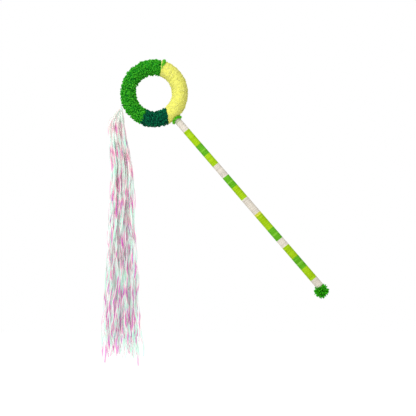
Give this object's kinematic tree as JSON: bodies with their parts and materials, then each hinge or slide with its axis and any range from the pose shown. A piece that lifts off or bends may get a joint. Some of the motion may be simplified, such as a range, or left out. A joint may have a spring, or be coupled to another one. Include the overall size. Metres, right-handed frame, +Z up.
{
  "type": "rhythmic ribbon wand",
  "caption": "Hand wand for dance and play: a straight stick bound with thread, a yarn-wrapped ring at one end, a pom-pom at the other, and a hanging hank of film strips.",
  "frame": {"origin": "on the stick's axis, at the middle of the stretch that a hand holds", "axes": "+Z up as the hank hangs, +X from the hank towards the pom-pom, +Y along the ring's axis, away from the front"},
  "size_m": [0.2973, 0.0322, 0.3851],
  "materials": {
    "thread_cream": "matte",
    "thread_lime": "matte",
    "thread_green": "matte",
    "thread_yellow": "matte",
    "wood": "matte",
    "foam": "matte",
    "glue": "gloss",
    "yarn_green": "matte",
    "yarn_dark_green": "matte",
    "yarn_yellow": "matte",
    "yarn_collar": "matte",
    "pompom_pile": "matte",
    "tie_thread": "matte",
    "film": "gloss"
  },
  "bodies": {
    "wand": {"stick_dowel": "wood", "ring_core": "foam", "ring_glue": "glue", "yarn_green": "yarn_green", "yarn_dark_green": "yarn_dark_green", "yarn_yellow": "yarn_yellow", "yarn_green_tail": "yarn_green", "ring_collar": "yarn_collar", "tie_loop": "tie_thread", "pompom_pile": "pompom_pile", "pompom_tie": "tie_thread", "pompom_glue": "glue", "wrap_01_cream": "thread_cream", "wrap_02_lime": "thread_lime", "wrap_03_green": "thread_green", "wrap_04_lime": "thread_lime", "wrap_05_cream": "thread_cream", "wrap_06_green": "thread_green", "wrap_07_lime": "thread_lime", "wrap_08_cream": "thread_cream", "wrap_09_yellow": "thread_yellow", "wrap_10_lime": "thread_lime", "wrap_11_green": "thread_green", "wrap_12_cream": "thread_cream", "wrap_13_lime": "thread_lime", "wrap_14_green": "thread_green", "wrap_15_lime": "thread_lime", "wrap_16_cream": "thread_cream"},
    "knot": {"tie_knot": "tie_thread"},
    "strand": {"tie_strand": "tie_thread"},
    "hank_top": {"neck_binding": "tie_thread", "streamer_1": "film"},
    "hank_upper": {"streamer_2": "film"},
    "hank_lower": {"streamer_3": "film"},
    "hank_end": {"streamer_4": "film"}
  },
  "joints": [
    {"name": "tie_swing", "type": "hinge", "parent": "wand", "child": "knot", "pos_m": [-0.20616, 0, 0.17383], "axis": [0, 1, 0], "range_deg": [-15, 130]},
    {"name": "tie_tilt", "type": "hinge", "parent": "knot", "child": "strand", "pos_m": [-0.20616, 0, 0.17383], "axis": [1, 0, 0], "range_deg": [-90, 90]},
    {"name": "tie_twist", "type": "hinge", "parent": "strand", "child": "hank_top", "pos_m": [-0.20616, 0, 0.17383], "axis": [0, 0, 1], "range_deg": [-90, 90]},
    {"name": "bend_upper", "type": "hinge", "parent": "hank_top", "child": "hank_upper", "pos_m": [-0.20616, 0, 0.09088], "axis": [0, 1, 0], "range_deg": [-45, 45]},
    {"name": "bend_middle", "type": "hinge", "parent": "hank_upper", "child": "hank_lower", "pos_m": [-0.20616, 0, 0.00944], "axis": [1, 0, 0], "range_deg": [-45, 45]},
    {"name": "bend_lower", "type": "hinge", "parent": "hank_lower", "child": "hank_end", "pos_m": [-0.20616, 0, -0.07201], "axis": [0, 1, 0], "range_deg": [-45, 45]}
  ]
}
